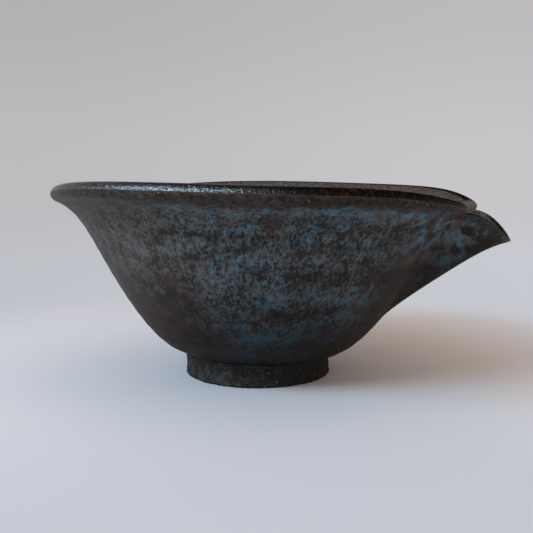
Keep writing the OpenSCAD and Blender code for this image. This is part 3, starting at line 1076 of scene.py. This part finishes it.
    def lipped(self, colour):
        """That colour under the black lip with its brown lower edge, and the lip's share"""
        ragged = self.plus(self.below, self.add_up((self.speck, LIP_RAGGED)))
        edge = self.times(self.step(ragged, self.edge_end + LIP_EDGE_W, self.edge_end),
                          self.step(self.speck, *EDGE_SPECK))
        colour = self.mix(self.times(edge, self.on_bowl), colour, LIP_BROWN)
        lip = self.times(self.step(ragged, self.edge_end, self.edge_end - LIP_FADE),
                         self.step(self.below, *LIP_INSIDE))
        brown = self.times(self.matt, self.step(self.speck, *LIP_SPECK))
        colour = self.mix(lip, colour, self.mix(brown, LIP_BLACK, LIP_BROWN))
        # Painted light: the cut ends turn pale as if lit
        return self.mix(self.value("cut_end"), colour, CUT_END_LIGHT), lip

    def sanded(self, colour, band, lip):
        """That colour with grains of sand below the lip and in the band"""
        sandy = self.plus(self.step(self.deep, self.edge_end + SAND_W, self.edge_end, 0, LIP_SAND),
                          self.times(band, BAND_SAND))
        sandy = self.times(sandy, self.minus(1.0, lip))
        return self.mix(self.times(self.spots(**GLAZE_SAND), sandy), colour, SAND)

    def roughness(self, veil_share, band, lip):
        rough = self.blend(veil_share, *BODY_ROUGH)
        rough = self.blend(band, rough, BAND_ROUGH)
        return self.blend(lip, rough, self.blend(self.matt, *LIP_ROUGH))

    def gloss(self, lip):
        """Strength of the reflections, which sparkle on the lip and are faint along its crown"""
        sparkle = self.step(self.noise(**SPARKLE), *SPARKLE_RANGE)
        sparkle = self.times(sparkle, self.blend(self.matt, 1.0, MATT_SPARKLE))
        gloss = self.blend(lip, self.step(self.z, *BODY_GLOSS_H), sparkle)
        graze_start = self.blend(self.matt, *GRAZE_START)
        graze_end = self.blend(self.matt, *GRAZE_END)
        grazing = self.step(self.deep, graze_start, graze_end, self.blend(self.matt, *GRAZE_LEAST), 1)
        return self.times(gloss, grazing)

    def relief(self, lip):
        normal = self.bump(self.grain, GRAIN_DEPTH, self.bump(self.speck, SPECK_DEPTH))
        return self.bump(self.noise(**PITS), PIT_DEPTH, normal, lip)

    def finished(self):
        veil_share = self.veil_share()
        colour, band = self.banded(self.body_colour(veil_share))
        colour, lip = self.lipped(colour)
        glassy = self.times(lip, self.minus(self.on_bowl, self.matt))
        return self.surface(Base_Color=self.sanded(colour, band, lip), Normal=self.relief(lip),
                            Roughness=self.roughness(veil_share, band, lip),
                            Specular_IOR_Level=self.gloss(lip), IOR=self.blend(glassy, *GLASS_IOR))


def glaze(name, **settings):
    return material_graph(name, Glaze, **settings).finished()


# The bare clay
CLAY_GRAIN_WEIGHT = 1.4
PALE_RANGE = -0.1, 0.32
PALE_SPREAD = 0.1, 1, 0.25, 1.2
CLAY_SAND_SHARE = 0.45
CLAY_PATCH_DEPTH = 0.5 * MM
CLAY_GRAIN_DEPTH = 0.25 * MM
CLAY_ROUGH = 0.6, 0.9
CLAY_GLOSS = 0.25


def bare_clay(name, dark, pale):
    """Rough sandy clay with a few bright grains"""
    g = material_graph(name)
    grain = g.noise(**CLAY_GRAIN)
    patch = g.noise(**CLAY_PATCH)
    pale_share = g.step(g.add_up((patch, 1), (grain, CLAY_GRAIN_WEIGHT)), *PALE_RANGE)
    pale_share = g.times(pale_share, g.step(g.facing(PALE_HEADING), *PALE_SPREAD))
    sand = g.times(g.spots(**CLAY_SAND), CLAY_SAND_SHARE)
    colour = g.mix(sand, g.mix(pale_share, dark, pale), SAND)
    normal = g.bump(patch, CLAY_PATCH_DEPTH, g.bump(grain, CLAY_GRAIN_DEPTH))
    return g.surface(Base_Color=colour, Roughness=g.blend(grain, *CLAY_ROUGH),
                     Specular_IOR_Level=CLAY_GLOSS, Normal=normal)


def add_piece(piece, node, material):
    piece.data.materials.append(material)
    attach(piece, "root")
    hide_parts(node)


spout_glaze = glaze("spout_glaze", band_end=SPOUT_BAND_END, edge_end=SPOUT_EDGE, on_bowl=0.0)
add_piece(bowl_body(), "bowl_body", glaze("bowl_glaze"))
add_piece(spout(), "spout", spout_glaze)
add_piece(spout_luting_coil(), "spout_luting_coil", glaze("seam_glaze"))
add_piece(foot_ring(), "foot_ring", bare_clay("bare_clay", CLAY, CLAY_PALE))
add_piece(foot_luting_slip(), "foot_luting_slip", bare_clay("slip", CLAY, SLIP))


# The camera, at the place that the outlines in the photograph give
IMAGE_W = 533
FOCAL_PX = 802.9
SENSOR_W = 36
CAMERA_HEADING = 20
CAMERA_DISTANCE = 285.1 * MM
CAMERA_H = 71.3 * MM
CAMERA_PITCH = 6.70
CAMERA_YAW = 0.625
CLIP_NEAR = 0.01
CLIP_FAR = 50


def seen_from(heading, distance, height):
    """A place round the object: heading 0 is the side that faces -Y, and it grows towards +X"""
    a = math.radians(heading)
    return Vector((math.sin(a) * distance, -math.cos(a) * distance, height))


# The stage: a pale floor that fades into an even backdrop
FLOOR_R = 4.0
FLOOR_SIDES = 96
FLOOR_ROUGH = 0.85
FLOOR_NEAR = 0.08
FLOOR_FAR = 0.22
GLOW_FAR = 1.4
FLOOR_COLOUR = srgb("#c8cbd2")
# Painted shade: the floor's colour darkens towards the camera
FLOOR_FRONT_SHADE = srgb("#bcc1cb")
FRONT_SHADE_RANGE = 0.05, 0.13
FLOOR_GLOW = srgb("#c5c7ce")
BACKDROP_LOW = srgb("#c3c2c5")
BACKDROP_HIGH = srgb("#b9b6b9")
BACKDROP_TOP = 0.22
CEILING = srgb("#4c4a49")
CEILING_RANGE = 0.26, 0.6
SIDE_REACH = 0.3
LEFT_SHADE = 0.93
RIGHT_GLOW = 1.04
AMBIENT = (0.83, 0.67, 0.56, 1.0)

# Lamps: name, heading from the camera's, distance, height, size, power and colour
LAMPS = (
    ("window", -61, 1.1, 0.75, 0.55, 12.4, (0.53, 0.78, 1.0)),
    ("sky", -40, 1.0, 0.78, 0.36, 4.2, (0.72, 0.88, 1.0)),
    ("glint", 60, 1.0, 0.8, 0.1, 0.5, (1.0, 0.72, 0.48)),
)


def across(g, place, heading):
    """Distance of a place from the middle, measured towards a heading"""
    return g.measure("DOT_PRODUCT", place, seen_from(heading, 1, 0))


def shaded_left(g, colour, place):
    """A colour that is darker to the left of the camera and lighter to its right"""
    right = across(g, place, CAMERA_HEADING + 90)
    return g.vector("MULTIPLY", colour, g.step(right, -SIDE_REACH, SIDE_REACH, LEFT_SHADE, RIGHT_GLOW))


def add_floor():
    turns = np.linspace(0, 2 * math.pi, FLOOR_SIDES, endpoint=False)
    points = np.stack([FLOOR_R * np.cos(turns), FLOOR_R * np.sin(turns), np.zeros(FLOOR_SIDES)], -1)
    floor = add_mesh("floor", points, [tuple(range(FLOOR_SIDES))])
    g = material_graph("floor")
    place = g.coordinates.outputs["Object"]
    distance = g.times(g.measure("LENGTH", g.place), MM)
    # Painted shade on the floor towards the camera
    front = g.step(across(g, place, CAMERA_HEADING), *FRONT_SHADE_RANGE)
    g.surface(Base_Color=g.mix(front, FLOOR_COLOUR, FLOOR_FRONT_SHADE), Roughness=FLOOR_ROUGH)
    glow = g.node("ShaderNodeEmission")
    glow_colour = g.mix(g.step(distance, FLOOR_FAR, GLOW_FAR), FLOOR_GLOW, BACKDROP_LOW)
    g.put(glow.inputs["Color"], shaded_left(g, glow_colour, place))
    far = g.step(distance, FLOOR_NEAR, FLOOR_FAR)
    near_shader = g.tree.nodes["Principled BSDF"].outputs[0]
    both = g.fed(g.node("ShaderNodeMixShader"), (far, near_shader, glow.outputs[0]))
    g.put(g.tree.nodes["Material Output"].inputs["Surface"], both.outputs[0])
    floor.data.materials.append(g.owner)


def add_world():
    """Warm soft light all round, seen as a pale backdrop under a dark ceiling"""
    world = bpy.data.worlds.new("studio")
    bpy.context.scene.world = world
    g = Graph(world)
    ray = g.node("ShaderNodeLightPath")
    seen = g.most(ray.outputs["Is Camera Ray"], ray.outputs["Is Glossy Ray"])
    seen = g.most(seen, ray.outputs["Is Transmission Ray"])
    way = g.coordinates.outputs["Generated"]
    up = g.parts(way)[2]
    backdrop = g.mix(g.step(up, 0, BACKDROP_TOP), BACKDROP_LOW, BACKDROP_HIGH)
    backdrop = g.mix(g.step(up, *CEILING_RANGE), backdrop, CEILING)
    backdrop = shaded_left(g, backdrop, way)
    g.put(g.tree.nodes["Background"].inputs["Color"], g.mix(seen, AMBIENT, backdrop))


def add_camera():
    data = bpy.data.cameras.new("camera")
    data.sensor_width = SENSOR_W
    data.lens = FOCAL_PX / IMAGE_W * SENSOR_W
    data.clip_start = CLIP_NEAR
    data.clip_end = CLIP_FAR
    camera = bpy.data.objects.new("camera", data)
    camera.location = seen_from(CAMERA_HEADING, CAMERA_DISTANCE, CAMERA_H)
    turn = math.radians(CAMERA_HEADING - CAMERA_YAW)
    camera.rotation_euler = (math.radians(90 - CAMERA_PITCH), 0, turn)
    bpy.context.scene.collection.objects.link(camera)
    bpy.context.scene.camera = camera


def add_lamp(name, turn, distance, height, size, power, colour):
    """A round lamp that points at the middle of the bowl"""
    data = bpy.data.lights.new(name, "AREA")
    data.shape = "DISK"
    data.size = size
    data.energy = power
    data.color = colour
    lamp = bpy.data.objects.new(name, data)
    lamp.location = seen_from(CAMERA_HEADING + turn, distance, height)
    to_bowl = Vector((0, 0, BOWL_H / 2)) - lamp.location
    lamp.rotation_euler = to_bowl.to_track_quat("-Z", "Y").to_euler()
    bpy.context.scene.collection.objects.link(lamp)


add_floor()
add_world()
add_camera()
for lamp_values in LAMPS:
    add_lamp(*lamp_values)
bpy.context.scene.view_settings.view_transform = "Standard"
